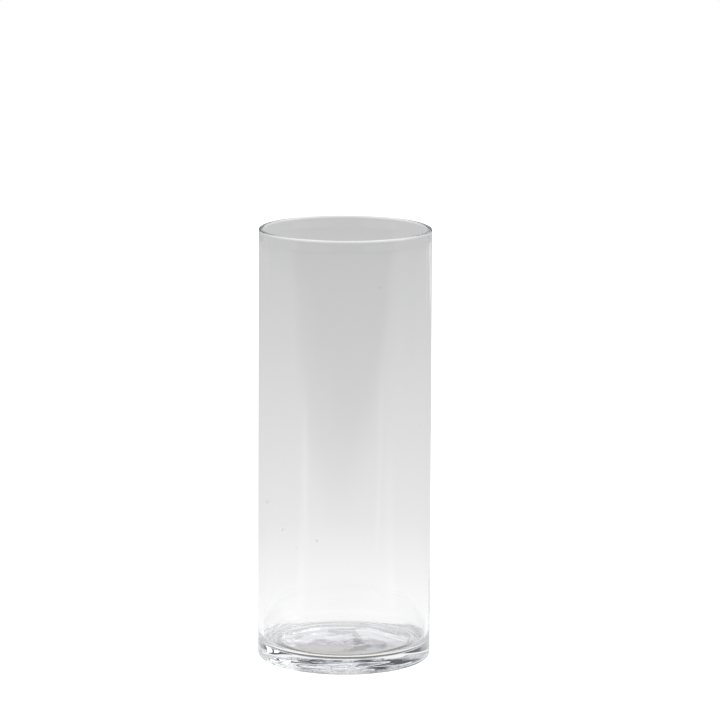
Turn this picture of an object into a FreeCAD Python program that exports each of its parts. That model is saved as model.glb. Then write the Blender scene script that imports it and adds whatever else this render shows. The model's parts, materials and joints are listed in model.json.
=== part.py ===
"""A clear glass cylinder vase, blown in one piece: base, wall and rim are one solid of revolution.

Millimetres. +Z is up along the vase's axis, and the origin is the centre of the circle that it stands on.
"""

import math
import os

import FreeCAD
import Part

# Overall size
HEIGHT = 250.0
HEEL_OUTER_RADIUS = 50.0  # the widest place, just above the rounded bottom edge
RIM_OUTER_RADIUS = 49.4  # the wall is drawn a little thinner towards the mouth
BORE_RADIUS = 47.2  # the straight inside wall

# Thick base
HEEL_ROUND = 1.8  # radius of the outside bottom edge
FOOT_INNER_RADIUS = 38.0  # the foot is a flat ring from here out to the heel
KICK_HEIGHT = 2.6  # the underside is domed upwards inside the foot ring
FLOOR_HEIGHT = 7.5  # the inside floor at the axis
FLOOR_DISH = 0.7  # how much the floor rises from the axis out to its corner
FLOOR_CORNER_ROUND = 6.0  # radius between the floor and the wall

FULL_TURN = 360.0


def point(radius, height):
    """A point of the half section, which lies in the XZ plane."""
    return FreeCAD.Vector(radius, 0, height)


def line(start, end):
    return Part.LineSegment(start, end).toShape()


def arc(start, middle, end):
    return Part.Arc(start, middle, end).toShape()


def arc_about(centre, radius, start_angle, end_angle):
    """An arc of the half section, given its centre and two angles in degrees from +X towards +Z."""
    on_arc = []
    for angle in (start_angle, (start_angle + end_angle) / 2, end_angle):
        turn = math.radians(angle)
        on_arc.append(centre + point(radius * math.cos(turn), radius * math.sin(turn)))
    return arc(*on_arc)


def dome_height(radius, edge_radius, rise):
    """Height at radius of a spherical cap that is rise high at its axis and zero at edge_radius."""
    sphere = (edge_radius**2 + rise**2) / (2 * rise)
    return math.sqrt(sphere**2 - radius**2) - (sphere - rise)


def underside():
    """The domed kick, then the flat foot ring out to the heel."""
    half_way = FOOT_INNER_RADIUS / 2
    middle = point(half_way, dome_height(half_way, FOOT_INNER_RADIUS, KICK_HEIGHT))
    foot_start = point(FOOT_INNER_RADIUS, 0)
    foot_end = point(HEEL_OUTER_RADIUS - HEEL_ROUND, 0)
    return [
        arc(point(0, KICK_HEIGHT), middle, foot_start),
        line(foot_start, foot_end),
    ]


def outside():
    """The rounded heel, the gently tapered wall and the fire-polished rim, which is a full round."""
    heel_centre = point(HEEL_OUTER_RADIUS - HEEL_ROUND, HEEL_ROUND)
    rim_round = (RIM_OUTER_RADIUS - BORE_RADIUS) / 2
    rim_height = HEIGHT - rim_round
    rim_centre = point(BORE_RADIUS + rim_round, rim_height)
    return [
        arc_about(heel_centre, HEEL_ROUND, -90, 0),
        line(point(HEEL_OUTER_RADIUS, HEEL_ROUND), point(RIM_OUTER_RADIUS, rim_height)),
        arc_about(rim_centre, rim_round, 0, 180),
    ]


def inside():
    """The straight bore, the round corner at its foot and the slightly dished floor, down to the axis."""
    rim_height = HEIGHT - (RIM_OUTER_RADIUS - BORE_RADIUS) / 2
    corner_radius = BORE_RADIUS - FLOOR_CORNER_ROUND
    sphere = (corner_radius**2 + FLOOR_DISH**2) / (2 * FLOOR_DISH)
    sphere_centre = FLOOR_HEIGHT + sphere
    corner_height = sphere_centre - math.sqrt((sphere - FLOOR_CORNER_ROUND) ** 2 - corner_radius**2)
    corner_centre = point(corner_radius, corner_height)
    steepness = math.degrees(math.atan2(corner_radius, sphere_centre - corner_height))
    corner = arc_about(corner_centre, FLOOR_CORNER_ROUND, 0, steepness - 90)
    floor_edge = corner.Vertexes[-1].Point
    half_way = floor_edge.x / 2
    middle = point(half_way, sphere_centre - math.sqrt(sphere**2 - half_way**2))
    return [
        line(point(BORE_RADIUS, rim_height), point(BORE_RADIUS, corner_height)),
        corner,
        arc(floor_edge, middle, point(0, FLOOR_HEIGHT)),
    ]


def vase_body():
    """The whole vase, turned from its half section."""
    axis = line(point(0, FLOOR_HEIGHT), point(0, KICK_HEIGHT))
    half_section = Part.Face(Part.Wire(underside() + outside() + inside() + [axis]))
    return half_section.revolve(point(0, 0), FreeCAD.Vector(0, 0, 1), FULL_TURN)


def main():
    os.makedirs("parts", exist_ok=True)
    shape = vase_body()
    shape.exportStep("parts/vase_body.step")
    print("vase_body", shape.ShapeType, "valid", shape.isValid(), "volume mm3", round(shape.Volume))


main()
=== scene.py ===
"""Looks of a clear glass cylinder vase, on a plain pale floor in soft studio light.

Metres. +Z is up along the vase's axis, and the origin is the centre of the circle that it stands on.
"""
import json
import math
from collections import namedtuple

import bpy
from mathutils import Matrix, Vector, noise


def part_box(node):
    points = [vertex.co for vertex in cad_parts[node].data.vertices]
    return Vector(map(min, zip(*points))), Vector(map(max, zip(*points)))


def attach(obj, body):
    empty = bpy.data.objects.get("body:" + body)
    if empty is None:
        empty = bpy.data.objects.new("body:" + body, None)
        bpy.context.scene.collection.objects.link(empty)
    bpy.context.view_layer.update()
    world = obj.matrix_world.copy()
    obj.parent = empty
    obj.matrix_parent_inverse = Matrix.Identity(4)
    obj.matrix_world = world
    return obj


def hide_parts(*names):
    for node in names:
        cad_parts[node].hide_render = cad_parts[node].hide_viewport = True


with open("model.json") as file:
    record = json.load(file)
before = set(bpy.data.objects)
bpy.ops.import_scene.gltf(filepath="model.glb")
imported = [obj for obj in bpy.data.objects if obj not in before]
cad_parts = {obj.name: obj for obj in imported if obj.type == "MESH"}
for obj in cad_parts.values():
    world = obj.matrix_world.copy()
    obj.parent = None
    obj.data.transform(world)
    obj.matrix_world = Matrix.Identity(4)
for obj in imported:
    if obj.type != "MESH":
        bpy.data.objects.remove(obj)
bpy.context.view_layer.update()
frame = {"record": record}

# Sizes of the glass, from the CAD model where it states them
rim_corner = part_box("vase_body")[1]
bore_mount = next(m for m in frame["record"]["mounts"] if m["name"] == "mouth_bore")
HEIGHT = rim_corner.z
HEEL_OUTER = rim_corner.x  # outside radius just above the heel, the widest place
BORE = bore_mount["dims"]["r_mm"] / 1000
RIM_WALL = 0.0022  # the wall thins to this at the mouth
RIM_OUTER = BORE + RIM_WALL
HEEL_ROUND = 0.0018
LIP_SWELL = 0.00014  # how far the fire-polished lip swells past the wall on each side
LIP_NECK = 0.007  # height over which it does so
FOOT_INNER = 0.038  # the foot is a flat ring from here out to the heel
KICK = 0.0026  # rise of the domed underside at the axis
FLOOR = 0.0075  # the inside floor at the axis
FLOOR_DISH = 0.0007  # rise of the floor from the axis out to its corner
CORNER_ROUND = 0.006  # radius between the floor and the wall
SEGMENTS = 256  # round the axis

# Unevenness that blowing and cooling leave in the glass: how high the lumps and the rings are, and how many
# there are per metre. A stretch below 1 draws the lumps out along the axis.
Ripple = namedtuple("Ripple", "height per_metre stretch ring_height rings_per_metre seed")
WALL_OUTSIDE_RIPPLE = Ripple(0.00012, 60.0, 0.14, 0.0, 0.0, 3.0)
WALL_INSIDE_RIPPLE = Ripple(0.00020, 50.0, 0.14, 0.0, 0.0, 7.0)
FLOOR_RIPPLE = Ripple(0.00010, 60.0, 1.0, 0.0, 0.0, 23.0)
UNDERSIDE_RIPPLE = Ripple(0.00022, 70.0, 1.0, 0.00024, 160.0, 11.0)
HEEL_RIPPLE = Ripple(0.00018, 160.0, 1.0, 0.00006, 400.0, 31.0)
RING_ARC = 1.5  # how quickly the rings of unevenness change on the way round
THICK_GLASS_RIPPLE = 2.0  # how much higher the ripples are at the foot of the wall, in thick glass
THICK_GLASS_REACH = 0.02  # height over which that dies away
RIPPLE_FADE = 0.06  # share of each surface's length over which its ripples die out at its ends
FLOOR_TILT = math.radians(0.8)  # the floor is a little lower on the right
FLOOR_TILT_FADE = 0.004  # the tilt dies away over this much of the floor, inside its ring
FLOOR_RING = (0.0402, 0.0006, 0.00030)  # radius, half width and height of the ring near the floor's edge

# Camera: a long lens, a little above the rim and looking slightly down
CAMERA_DISTANCE = 2.161
CAMERA_HEIGHT = 0.579
CAMERA_PITCH = math.radians(10.63)
CAMERA_YAW = math.radians(0.229)
CAMERA_ROLL = math.radians(0.28)
LENS = 191.75
SENSOR = 36.0

# Studio
FLOOR_RADIUS = 3.0
FLOOR_GAP = 0.0003  # keeps the studio floor just clear of the foot
TABLE_FRONT = 0.385  # the bright table ends about this far in front of the vase
TABLE_EDGE = (-0.05, 0.22)  # and darkens between these distances from there
EDGE_SLANT = (-0.12, 0.30)  # which change by this much towards the right


def make_camera():
    data = bpy.data.cameras.new("camera")
    data.lens = LENS
    data.sensor_width = SENSOR
    data.clip_start = 0.05
    data.clip_end = 50.0
    camera = bpy.data.objects.new("camera", data)
    turn = (
        Matrix.Rotation(-CAMERA_YAW, 4, "Z")
        @ Matrix.Rotation(math.pi / 2 - CAMERA_PITCH, 4, "X")
        @ Matrix.Rotation(CAMERA_ROLL, 4, "Z")
    )
    place = Matrix.Translation((0, -CAMERA_DISTANCE, CAMERA_HEIGHT))
    camera.matrix_world = place @ turn
    bpy.context.scene.collection.objects.link(camera)
    bpy.context.scene.camera = camera


make_camera()


# ---------------------------------------------------------------- shader helpers


def add_node(tree, kind, inputs=None, **settings):
    """One shader node. An input is given a value, or a socket to be linked to."""
    made = tree.nodes.new(kind)
    for name, value in settings.items():
        setattr(made, name, value)
    for key, value in (inputs or {}).items():
        if isinstance(value, bpy.types.NodeSocket):
            tree.links.new(value, made.inputs[key])
        else:
            made.inputs[key].default_value = value
    return made


def calc(tree, operation, *values, clamp=False):
    """The output of a Math node."""
    inputs = dict(enumerate(values))
    return add_node(tree, "ShaderNodeMath", inputs, operation=operation, use_clamp=clamp).outputs[0]


def ease(tree, value, low, high, at_low=0.0, at_high=1.0):
    """A smooth step of value from at_low to at_high."""
    inputs = {"Value": value, "From Min": low, "From Max": high, "To Min": at_low, "To Max": at_high}
    return add_node(tree, "ShaderNodeMapRange", inputs, interpolation_type="SMOOTHSTEP").outputs[0]


def ramp(tree, value, stops):
    """A colour ramp through (place, colour) stops."""
    made = add_node(tree, "ShaderNodeValToRGB", {0: value})
    made.color_ramp.interpolation = "LINEAR"
    points = made.color_ramp.elements
    points[0].position, points[0].color = stops[0][0], (*stops[0][1], 1)
    points[1].position, points[1].color = stops[-1][0], (*stops[-1][1], 1)
    for place, colour in stops[1:-1]:
        points.new(place).color = (*colour, 1)
    return made.outputs["Color"]


def new_tree(owner):
    owner.use_nodes = True
    owner.node_tree.nodes.clear()
    return owner.node_tree


# ---------------------------------------------------------------- the glass


def arc(centre, radius, start, end, steps):
    """Points on an arc of the half section, from angle start to angle end in degrees, without the last."""
    found = []
    for i in range(steps):
        turn = math.radians(start + (end - start) * i / steps)
        found.append((centre[0] + radius * math.cos(turn), centre[1] + radius * math.sin(turn)))
    return found


def line(start, end, steps):
    """Points on a straight line of the half section, without the last."""
    found = []
    for i in range(steps):
        share = i / steps
        found.append((start[0] + (end[0] - start[0]) * share, start[1] + (end[1] - start[1]) * share))
    return found


def swelling(start, end, steps):
    """Points on an S-shaped curve of the half section, upright at both ends, without the last."""
    found = []
    for i in range(steps):
        share = i / steps
        eased = share * share * (3 - 2 * share)
        found.append((start[0] + (end[0] - start[0]) * eased, start[1] + (end[1] - start[1]) * share))
    return found


def rippled(points, direction, ripple, swell=None):
    """Each point with the direction, share and kind of the ripples that it carries.

    swell gives a factor for a height.
    """
    last = max(len(points) - 1, 1)
    found = []
    for i, (r, z) in enumerate(points):
        from_end = min(i, last - i) / last / RIPPLE_FADE
        share = min(from_end, 1.0) * (swell(z) if swell else 1.0)
        found.append((r, z, direction, share, ripple))
    return found


def plain(points):
    """Each point without ripples."""
    return [(r, z, (0, 0), 0.0, None) for r, z in points]


def thick_glass(z):
    """How much higher the wall's ripples are at height z."""
    return 1 + (THICK_GLASS_RIPPLE - 1) * math.exp(-z / THICK_GLASS_REACH)


def ripple_at(ripple, r, turn, z):
    """Height of a ripple at one point: drawn-out lumps, and rings about the axis."""
    across = Vector((r * math.cos(turn), r * math.sin(turn), z * ripple.stretch)) * ripple.per_metre
    rings = Vector((RING_ARC * math.cos(turn), RING_ARC * math.sin(turn), (r + z) * ripple.rings_per_metre))
    shift = Vector((0, 0, ripple.seed))
    return ripple.height * noise.noise(across + shift) + ripple.ring_height * noise.noise(rings + shift)


def floor_shape(r, turn):
    """What the inside floor adds to its section: a slight tilt, and the ring near its edge."""
    edge, half_width, height = FLOOR_RING
    tilt = -r * math.cos(turn) * math.tan(FLOOR_TILT) * min(1.0, max(0.0, edge - r) / FLOOR_TILT_FADE)
    return tilt + height * math.exp(-(((r - edge) / half_width) ** 2))


def half_section():
    """The closed half section, from the middle of the underside round to the middle of the inside floor."""
    kick_sphere = (FOOT_INNER**2 + KICK**2) / (2 * KICK)
    kick_angle = math.degrees(math.asin(FOOT_INNER / kick_sphere))
    underside = arc((0, KICK - kick_sphere), kick_sphere, 90, 90 - kick_angle, 38)
    foot = line((FOOT_INNER, 0), (HEEL_OUTER - HEEL_ROUND, 0), 7)
    heel = arc((HEEL_OUTER - HEEL_ROUND, HEEL_ROUND), HEEL_ROUND, -90, 0, 12)
    wall_half = (RIM_OUTER - BORE) / 2
    rim_round = wall_half + LIP_SWELL
    rim_height = HEIGHT - rim_round
    wall_top = rim_height - LIP_NECK
    outside = line((HEEL_OUTER, HEEL_ROUND), (RIM_OUTER, wall_top), 94)
    outer_neck = swelling((RIM_OUTER, wall_top), (RIM_OUTER + LIP_SWELL, rim_height), 8)
    rim = arc((BORE + wall_half, rim_height), rim_round, 0, 180, 18)
    inner_neck = swelling((BORE - LIP_SWELL, rim_height), (BORE, wall_top), 8)
    corner_radius = BORE - CORNER_ROUND
    dish_sphere = (corner_radius**2 + FLOOR_DISH**2) / (2 * FLOOR_DISH)
    dish_centre = FLOOR + dish_sphere
    corner_height = dish_centre - math.sqrt((dish_sphere - CORNER_ROUND) ** 2 - corner_radius**2)
    inside = line((BORE, wall_top), (BORE, corner_height), 90)
    steepness = math.degrees(math.atan2(corner_radius, dish_centre - corner_height))
    corner = arc((corner_radius, corner_height), CORNER_ROUND, 0, steepness - 90, 14)
    floor = arc((0, dish_centre), dish_sphere, steepness - 90, -90, 70)
    return (
        rippled(underside, (0, 1), UNDERSIDE_RIPPLE)
        + plain(foot)
        + rippled(heel, (0.7, 0), HEEL_RIPPLE)
        + rippled(outside, (1, 0), WALL_OUTSIDE_RIPPLE, thick_glass)
        + plain(outer_neck + rim + inner_neck)
        + rippled(inside, (1, 0), WALL_INSIDE_RIPPLE, thick_glass)
        + plain(corner)
        + rippled(floor, (0, 1), FLOOR_RIPPLE)
    )


def turned(section, segments):
    """Vertices and faces of the section turned about the Z axis.

    Its first point lies on the axis, and its last ring closes on a point there.
    """
    first, rings = section[0], section[1:]
    vertices = [(0, 0, first[1])]
    for r, z, direction, share, ripple in rings:
        for k in range(segments):
            turn = 2 * math.pi * k / segments
            push = share * ripple_at(ripple, r, turn, z) if ripple else 0.0
            out = r + direction[0] * push
            level = z + direction[1] * push
            if ripple is FLOOR_RIPPLE:
                level += floor_shape(r, turn)
            vertices.append((out * math.cos(turn), out * math.sin(turn), level))
    vertices.append((0, 0, FLOOR))
    faces = []
    for k in range(segments):
        after = (k + 1) % segments
        faces.append((0, 1 + after, 1 + k))
    for i in range(len(rings) - 1):
        low, high = 1 + i * segments, 1 + (i + 1) * segments
        for k in range(segments):
            after = (k + 1) % segments
            faces.append((low + k, low + after, high + after, high + k))
    low, top = 1 + (len(rings) - 1) * segments, len(vertices) - 1
    for k in range(segments):
        faces.append((low + k, low + (k + 1) % segments, top))
    return vertices, faces


def glass_piece(name):
    vertices, faces = turned(half_section(), SEGMENTS)
    mesh = bpy.data.meshes.new(name)
    mesh.from_pydata(vertices, [], faces)
    mesh.update()
    mesh.shade_smooth()
    made = bpy.data.objects.new(name, mesh)
    bpy.context.scene.collection.objects.link(made)
    return made


# Seeds, the tiny bubbles in the wall: bearing in degrees (-90 is the front), height and half length
SEEDS = (
    (-77, 0.189, 0.0008),
    (-88, 0.165, 0.0007),
    (-91, 0.139, 0.0008),
    (-153, 0.095, 0.0011),
    (-135, 0.082, 0.0012),
    (-123, 0.073, 0.0009),
    (20, 0.131, 0.0008),
    (64, 0.208, 0.0007),
    (110, 0.056, 0.0010),
)
SEED_SLIMNESS = 2.2  # how much longer than wide a seed is, as it is drawn out with the glass
SEED_CORE = 0.3  # share of a seed's half length over which its mark is at full height
SEED_RELIEF = 0.00022
CORD_RELIEF = 0.00006
SMEAR_ROUGHNESS = 0.03
FOOT_ROUGHNESS = 0.35
FOOT_WEAR = (0.00005, 0.0003)  # heights between which the wear on the foot ends
GLASS_IOR = 1.52
GLASS_TINT = (0.84, 0.90, 0.90, 1)  # the faint green of soda-lime glass, seen in thick glass
TINT_DENSITY = 4.0


def seed_marks(tree, place):
    """Height of the marks that the seeds leave, from 0 to 1."""
    total = None
    for bearing, height, half_length in SEEDS:
        turn = math.radians(bearing)
        wall = HEEL_OUTER + (RIM_OUTER - HEEL_OUTER) * height / HEIGHT
        centre = (wall * math.cos(turn), wall * math.sin(turn), height)
        offset = add_node(
            tree, "ShaderNodeVectorMath", {0: place, 1: centre}, operation="SUBTRACT"
        ).outputs[0]
        slimming = (SEED_SLIMNESS, SEED_SLIMNESS, 1.0)
        slim = add_node(tree, "ShaderNodeVectorMath", {0: offset, 1: slimming}, operation="MULTIPLY")
        length = add_node(tree, "ShaderNodeVectorMath", {0: slim.outputs[0]}, operation="LENGTH")
        mark = ease(tree, length.outputs["Value"], half_length * SEED_CORE, half_length, 1.0, 0.0)
        total = mark if total is None else calc(tree, "ADD", total, mark)
    return total


def glass_material():
    material = bpy.data.materials.new("clear_glass")
    tree = new_tree(material)
    place = add_node(tree, "ShaderNodeTexCoord").outputs["Object"]
    height = add_node(tree, "ShaderNodeSeparateXYZ", {0: place}).outputs["Z"]
    # faint smears from handling, and the foot ring worn matt by the table
    smears = add_node(
        tree,
        "ShaderNodeTexNoise",
        {"Vector": place, "Scale": 38.0, "Detail": 5.0, "Roughness": 0.6, "Distortion": 0.8},
    )
    smear = ease(tree, smears.outputs["Fac"], 0.58, 0.72, 0.0, SMEAR_ROUGHNESS)
    scuffs = add_node(tree, "ShaderNodeTexNoise", {"Vector": place, "Scale": 900.0, "Detail": 3.0})
    near_table = ease(tree, height, *FOOT_WEAR, FOOT_ROUGHNESS, 0.0)
    wear = calc(tree, "MULTIPLY", near_table, ease(tree, scuffs.outputs["Fac"], 0.40, 0.60))
    roughness = calc(tree, "MAXIMUM", smear, wear)
    # fine cords drawn out along the wall by the blowing, and the seeds
    drawn = add_node(
        tree, "ShaderNodeVectorMath", {0: place, 1: (1.0, 1.0, 0.12)}, operation="MULTIPLY"
    ).outputs[0]
    cords = add_node(tree, "ShaderNodeTexNoise", {"Vector": drawn, "Scale": 160.0, "Detail": 2.0})
    fine = add_node(
        tree, "ShaderNodeBump", {"Height": cords.outputs["Fac"], "Strength": 0.25, "Distance": CORD_RELIEF}
    )
    marks = add_node(
        tree,
        "ShaderNodeBump",
        {
            "Height": seed_marks(tree, place),
            "Strength": 1.0,
            "Distance": SEED_RELIEF,
            "Normal": fine.outputs[0],
        },
    )
    principled = add_node(
        tree,
        "ShaderNodeBsdfPrincipled",
        {
            "Base Color": (1.0, 1.0, 1.0, 1),
            "IOR": GLASS_IOR,
            "Transmission Weight": 1.0,
            "Roughness": roughness,
            "Normal": marks.outputs[0],
        },
    )
    absorb = add_node(tree, "ShaderNodeVolumeAbsorption", {"Color": GLASS_TINT, "Density": TINT_DENSITY})
    out = add_node(tree, "ShaderNodeOutputMaterial")
    tree.links.new(principled.outputs[0], out.inputs["Surface"])
    tree.links.new(absorb.outputs[0], out.inputs["Volume"])
    return material


vase = glass_piece("vase_glass")
vase.data.materials.append(glass_material())
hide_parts("vase_body")
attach(vase, "root")


# ---------------------------------------------------------------- the studio

# Painted pool of light on the table: how bright the table is, at distances from the vase's axis as a share
# of TABLE_REACH
TABLE_REACH = 2.0
PAINTED_LIGHT_POOL = [
    (0.0, (1.03, 1.03, 1.03)),
    (0.05, (1.01, 1.01, 1.01)),
    (0.09, (0.935, 0.935, 0.935)),
    (0.17, (0.82, 0.82, 0.82)),
    (0.30, (0.75, 0.75, 0.75)),
    (0.50, (0.675, 0.675, 0.675)),
    (0.82, (0.585, 0.585, 0.59)),
]
# Painted shadows on the table, dark rings where the foot stands: the radii where each begins, is full,
# starts to fade and ends
CONTACT_SHADOW_RING = (0.0335, 0.0365, 0.0440, 0.0468)  # painted shadow under the foot, towards the front
CONTACT_SHADOW_LEVEL = 0.15
FOOT_SHADOW_LINE = (0.0455, 0.0465, 0.0490, 0.0505)  # painted shadow along the foot's edge, at the back
FOOT_SHADOW_LEVEL = 0.45
WARM_SHADOW_COLOUR = (1.0, 0.975, 0.94)  # painted shade coloured warm under the front of the vase
COOL_SHADOW_COLOUR = (0.985, 0.965, 1.0)  # and cool under its back
# Painted light on the table, in narrow bands standing for a stand far behind and for mirrored windows:
# bearing, half width and softness in degrees, start, end and strength
PAINTED_LIGHT_STREAKS = (
    (19, 0.8, 0.5, 1.1, 9.0, 0.6),
    (26, 1.6, 0.5, 1.1, 9.0, 0.6),
    (-125, 4, 3, 0.08, 0.75, 0.35),
    (119, 4, 3, 0.08, 0.65, 0.35),
)

# How bright the room is, by the height that the sight line rises
ROOM = [
    (0.0, (0.60, 0.60, 0.60)),
    (0.10, (0.28, 0.275, 0.28)),
    (0.18, (0.33, 0.32, 0.34)),
    (0.34, (0.30, 0.29, 0.32)),
    (0.50, (0.72, 0.72, 0.75)),
    (1.0, (0.95, 0.95, 0.97)),
]
DARKEST = (0.06, 0.06, 0.07)
FRONT_SHARE = 0.85  # how bright the room in front of the table is, against the same distance behind
# Lamps, and dark things when the colour is below zero. Azimuth and elevation, half width, half height,
# softness and lean in degrees, then colour.
PATCHES = [
    ((40, 60), 12, 10, 3, 0, (0.7, 0.7, 0.7)),
    ((130, 12), 25, 16, 6, 0, (0.5, 0.5, 0.5)),
    ((-130, 12), 25, 16, 6, 0, (0.5, 0.5, 0.5)),
    ((95, 24), 10, 16, 4, 0, (1.5, 1.5, 1.5)),
    ((-32, 16), 20, 14, 3, 0, (-0.28, -0.265, -0.25)),
    ((0, 15), 6, 4.2, 0.8, 0, (0.54, 0.52, 0.58)),
    ((38, 14), 20, 13, 1.5, 0, (-0.30, -0.29, -0.28)),
    ((0, 23.5), 30, 2.2, 0.8, 0, (-0.20, -0.20, -0.19)),
    ((0, 7.6), 30, 3.0, 0.5, 2, (-0.30, -0.30, -0.29)),
    ((1.15, 13.0), 0.8, 1.6, 0.15, 0, (-0.98, -0.86, -0.84)),
    ((0.4, 15.8), 0.28, 1.4, 0.1, -25, (-0.98, -0.90, -0.88)),
    ((-2.1, 16.5), 0.25, 0.7, 0.08, 0, (1.6, 1.6, 1.65)),
    ((-2.2, 14.2), 0.25, 0.3, 0.08, 0, (0.9, 0.9, 0.95)),
    ((-1.3, 15.5), 0.35, 0.9, 0.1, 0, (-0.5, -0.5, -0.54)),
    ((2.7, 12.5), 0.3, 0.4, 0.1, 0, (0.6, 0.7, 0.75)),
    ((2.0, 14.2), 0.3, 0.5, 0.1, 0, (0.4, 0.45, 0.5)),
    ((-3.1, 14.2), 0.07, 2.6, 0.04, 0, (1.5, 1.5, 1.5)),
]
WINDOW_GLOW = (2.2, 2.2, 2.2)


def scaled(tree, colour, factor):
    """A colour times a number, where either may be a socket."""
    inputs = {0: colour, "Scale": factor}
    return add_node(tree, "ShaderNodeVectorMath", inputs, operation="SCALE").outputs[0]


def added(tree, first, second):
    """The sum of two colours."""
    inputs = {0: first, 1: second}
    return add_node(tree, "ShaderNodeVectorMath", inputs, operation="ADD").outputs[0]


def blended(tree, factor, first, second):
    """A number between first and second, by factor."""
    inputs = {"Factor": factor, "A": first, "B": second}
    return add_node(tree, "ShaderNodeMix", inputs, data_type="FLOAT").outputs[0]


def ring(tree, away, radii):
    """A soft-edged ring about the axis, from 0 to 1."""
    begin, full, fade, end = radii
    return calc(tree, "MULTIPLY", ease(tree, away, begin, full), ease(tree, away, fade, end, 1.0, 0.0))


def painted_table_light(tree):
    """The table as the glass refracts and reflects it.

    Its light and shade are painted in: a painted pool of light bright round the vase, painted shade dim
    under it and towards the room, and darker beyond its front edge.
    """
    place = add_node(tree, "ShaderNodeTexCoord").outputs["Object"]
    split = add_node(tree, "ShaderNodeSeparateXYZ", {0: place})
    x, y = split.outputs["X"], split.outputs["Y"]
    away = add_node(tree, "ShaderNodeVectorMath", {0: place}, operation="LENGTH").outputs["Value"]
    pool = ramp(tree, calc(tree, "DIVIDE", away, TABLE_REACH, clamp=True), PAINTED_LIGHT_POOL)
    to_right = ease(tree, x, -0.05, 0.35)
    edges = []
    for distance, slant in zip(TABLE_EDGE, EDGE_SLANT):
        edges.append(calc(tree, "ADD", TABLE_FRONT + distance, calc(tree, "MULTIPLY", to_right, slant)))
    beyond = ease(tree, calc(tree, "MULTIPLY", y, -1.0), *edges)
    room = ease(tree, away, 0.7, 1.7, 0.35, 0.60)
    share = blended(tree, beyond, 1.0, room)
    # painted shade under the vase, and painted shadows in dark rings where its foot meets the table
    under = ease(tree, away, 0.026, 0.044, 0.46, 0.95)
    under = calc(tree, "ADD", under, ease(tree, away, 0.060, 0.080, 0.0, 0.03))
    share = calc(tree, "MULTIPLY", share, under)
    contact_shadow = calc(tree, "MULTIPLY", ring(tree, away, CONTACT_SHADOW_RING), ease(tree, y, -0.02, 0.01, 1.0, 0.2))
    share = calc(tree, "MULTIPLY", share, blended(tree, contact_shadow, 1.0, CONTACT_SHADOW_LEVEL))
    foot_shadow = calc(tree, "MULTIPLY", ring(tree, away, FOOT_SHADOW_LINE), ease(tree, y, 0.0, 0.01))
    share = calc(tree, "MULTIPLY", share, blended(tree, foot_shadow, 1.0, FOOT_SHADOW_LEVEL))
    # painted light: a stand far behind, and painted reflections of the windows that the table mirrors on
    # both sides in front
    bearing = calc(tree, "ARCTAN2", x, y)
    for centre, half, soft, start, end, gain in PAINTED_LIGHT_STREAKS:
        off = calc(tree, "ABSOLUTE", calc(tree, "SUBTRACT", bearing, math.radians(centre)))
        across = ease(tree, off, math.radians(half - soft), math.radians(half + soft), 1.0, 0.0)
        light_streak = calc(tree, "MULTIPLY", across, ease(tree, away, start, start + 0.2))
        light_streak = calc(tree, "MULTIPLY", light_streak, ease(tree, away, end - 0.2, end + 0.2, 1.0, 0.0))
        share = calc(tree, "ADD", share, calc(tree, "MULTIPLY", light_streak, gain))
    # painted shade under the foot, coloured warm at the front and cool at the back
    shade = ramp(tree, ease(tree, y, -0.015, 0.005), [(0.0, WARM_SHADOW_COLOUR), (1.0, COOL_SHADOW_COLOUR)])
    past_foot = ease(tree, away, 0.046, 0.052)
    inputs = {"Factor": past_foot, 6: shade, 7: (1, 1, 1, 1)}
    shadow_colour = add_node(tree, "ShaderNodeMix", inputs, data_type="RGBA").outputs[2]
    pool = add_node(tree, "ShaderNodeVectorMath", {0: pool, 1: shadow_colour}, operation="MULTIPLY").outputs[0]
    # painted light: the light that the glass throws on the table beside its left edge, painted in from
    # noise
    inputs = {"Vector": place, "Scale": 42.0, "Detail": 2.0, "Distortion": 1.2}
    caustic_noise = add_node(tree, "ShaderNodeTexNoise", inputs)
    painted_caustic = ease(tree, caustic_noise.outputs["Fac"], 0.44, 0.68, -0.08, 0.24)
    beside = calc(tree, "MULTIPLY", ease(tree, x, -0.050, -0.058), ease(tree, away, 0.075, 0.12, 1.0, 0.0))
    share = calc(tree, "ADD", share, calc(tree, "MULTIPLY", painted_caustic, beside))
    return scaled(tree, pool, share)


def make_floor():
    """A plain pale floor, lit white, which the glass sees as a table in a studio, with that table's light
    and shade painted into an emission.
    """
    mesh = bpy.data.meshes.new("studio_floor")
    rim = []
    for k in range(128):
        turn = 2 * math.pi * k / 128
        rim.append((FLOOR_RADIUS * math.cos(turn), FLOOR_RADIUS * math.sin(turn), -FLOOR_GAP))
    mesh.from_pydata(rim, [], [tuple(range(128))])
    floor = bpy.data.objects.new("studio_floor", mesh)
    bpy.context.scene.collection.objects.link(floor)
    material = bpy.data.materials.new("studio_floor")
    tree = new_tree(material)
    # what the glass sees of the table glows with its light and shade painted in
    in_glass = add_node(tree, "ShaderNodeEmission", {"Color": painted_table_light(tree)})
    diffuse = add_node(tree, "ShaderNodeBsdfDiffuse", {"Color": (0.8, 0.8, 0.8, 1)})
    glow = add_node(tree, "ShaderNodeEmission", {"Color": (1, 1, 1, 1), "Strength": 0.75})
    lit = add_node(tree, "ShaderNodeAddShader", {0: diffuse.outputs[0], 1: glow.outputs[0]})
    straight = add_node(tree, "ShaderNodeLightPath").outputs["Is Camera Ray"]
    both = add_node(tree, "ShaderNodeMixShader", {0: straight, 1: in_glass.outputs[0], 2: lit.outputs[0]})
    out = add_node(tree, "ShaderNodeOutputMaterial")
    tree.links.new(both.outputs[0], out.inputs["Surface"])
    mesh.materials.append(material)


def dot_product(tree, first, second):
    inputs = {0: first, 1: second}
    return add_node(tree, "ShaderNodeVectorMath", inputs, operation="DOT_PRODUCT").outputs["Value"]


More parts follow.
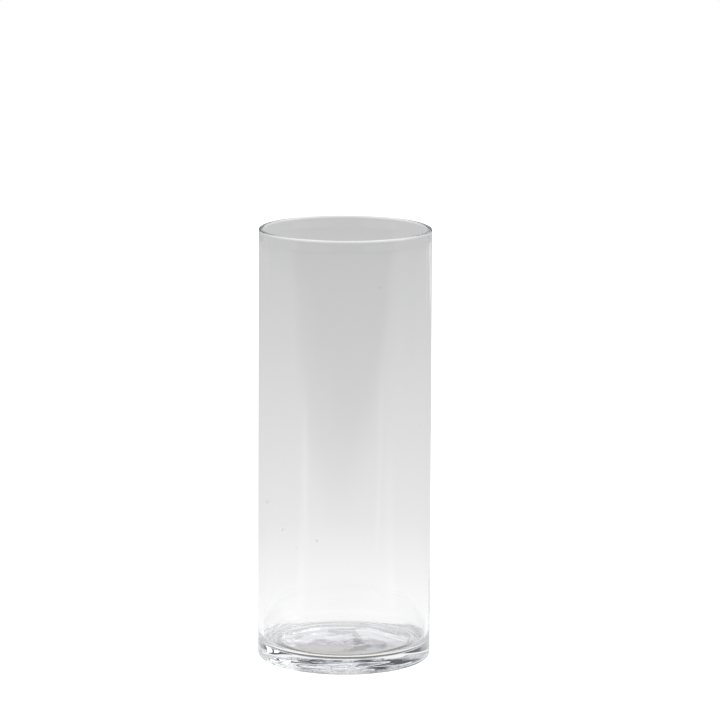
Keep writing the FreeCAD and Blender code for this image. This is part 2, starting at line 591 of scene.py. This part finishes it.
def offsets(tree, sight, centre, lean=0.0):
    """How far, in degrees, the sight line is across and above centre, and whether it points that way.

    centre is (azimuth, elevation). Azimuth 0 is behind the vase, and 90 to its right.
    """
    azimuth, elevation = math.radians(centre[0]), math.radians(centre[1])
    flat = math.cos(elevation)
    ahead = Vector((math.sin(azimuth) * flat, math.cos(azimuth) * flat, math.sin(elevation)))
    level = Vector((math.cos(azimuth), -math.sin(azimuth), 0))
    turn = Matrix.Rotation(math.radians(lean), 3, ahead)
    found = []
    for axis in (turn @ level, turn @ level.cross(ahead)):
        along = axis / math.sin(math.radians(1))
        found.append(dot_product(tree, sight, along))
    return found[0], found[1], calc(tree, "GREATER_THAN", dot_product(tree, sight, ahead), 0.0)


def patch(tree, sight, centre, half_width, half_height, softness, lean=0.0):
    """A soft-edged light, as a share from 0 to 1. Sizes in degrees."""
    across, above, share = offsets(tree, sight, centre, lean)
    for along, half in ((across, half_width), (above, half_height)):
        offset = calc(tree, "ABSOLUTE", along)
        inside = ease(tree, offset, half - softness, half + softness, 1.0, 0.0)
        share = calc(tree, "MULTIPLY", share, inside)
    return share


def window(tree, sight, centre, columns, rows, pane_width, pane_height, bar):
    """A window with bars between its panes, as a share from 0 to 1. Sizes in degrees."""
    across, above, share = offsets(tree, sight, centre)
    for along, count, pitch in ((across, columns, pane_width), (above, rows, pane_height)):
        half = count * pitch / 2
        offset = calc(tree, "ABSOLUTE", along)
        share = calc(tree, "MULTIPLY", share, calc(tree, "LESS_THAN", offset, half))
        from_bar = calc(tree, "PINGPONG", calc(tree, "ADD", along, half), pitch / 2)
        share = calc(tree, "MULTIPLY", share, ease(tree, from_bar, bar / 2 - 0.3, bar / 2 + 0.3))
    return share


def make_world():
    """A studio round the table, which only the glass sees: the camera sees white."""
    world = bpy.data.worlds.new("studio")
    bpy.context.scene.world = world
    tree = new_tree(world)
    sight = add_node(tree, "ShaderNodeTexCoord").outputs["Generated"]
    split = add_node(tree, "ShaderNodeSeparateXYZ", {0: sight})
    height = split.outputs["Z"]
    room = ramp(tree, calc(tree, "MULTIPLY", height, 1.0, clamp=True), ROOM)
    front = ease(tree, split.outputs["Y"], -0.3, 0.2, FRONT_SHARE, 1.0)
    base = scaled(tree, room, front)
    for centre, half_width, half_height, softness, lean, colour in PATCHES:
        share = patch(tree, sight, centre, half_width, half_height, softness, lean)
        base = added(tree, base, scaled(tree, colour, share))
    panes = window(tree, sight, (38, 14), 3, 2, 11, 10, 3.2)
    base = added(tree, base, scaled(tree, WINDOW_GLOW, panes))
    base = add_node(tree, "ShaderNodeVectorMath", {0: base, 1: DARKEST}, operation="MAXIMUM").outputs[0]
    studio = add_node(tree, "ShaderNodeBackground", {"Color": base, "Strength": 1.0})
    white = add_node(tree, "ShaderNodeBackground", {"Color": (1, 1, 1, 1), "Strength": 1.0})
    straight = add_node(tree, "ShaderNodeLightPath").outputs["Is Camera Ray"]
    both = add_node(tree, "ShaderNodeMixShader", {0: straight, 1: studio.outputs[0], 2: white.outputs[0]})
    out = add_node(tree, "ShaderNodeOutputWorld")
    tree.links.new(both.outputs[0], out.inputs["Surface"])


make_floor()
make_world()

# a ray that enters the wall can bounce along it many times before it leaves
LIGHT_BOUNCES = 160
scene = bpy.context.scene
scene.view_settings.view_transform = "Standard"
scene.cycles.max_bounces = LIGHT_BOUNCES
scene.cycles.transmission_bounces = LIGHT_BOUNCES
scene.cycles.glossy_bounces = LIGHT_BOUNCES
scene.cycles.diffuse_bounces = 3
scene.cycles.blur_glossy = 0.0
scene.cycles.transparent_max_bounces = 16
